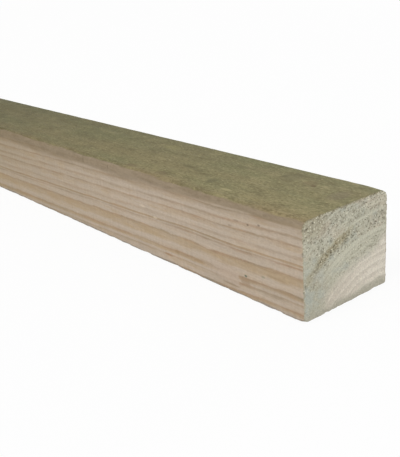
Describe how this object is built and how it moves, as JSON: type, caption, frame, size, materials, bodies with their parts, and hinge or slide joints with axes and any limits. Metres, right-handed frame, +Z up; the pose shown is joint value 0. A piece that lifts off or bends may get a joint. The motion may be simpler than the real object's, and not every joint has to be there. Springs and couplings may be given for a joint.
{
  "type": "timber rail",
  "caption": "Straight rail of pressure-treated softwood with eased upper edges, used for fence rails, decking frames and battens.",
  "frame": {"origin": "middle of the underside, on the level the rail rests on", "axes": "+X along the length, towards the cut end that shows in the picture; -Y towards the long side that shows; +Z up"},
  "size_m": [1.8, 0.05, 0.042],
  "materials": {
    "treated_timber": "sawn, matt, with a green preservative tint"
  },
  "bodies": {
    "root": {"rail": "treated_timber"}
  },
  "joints": []
}
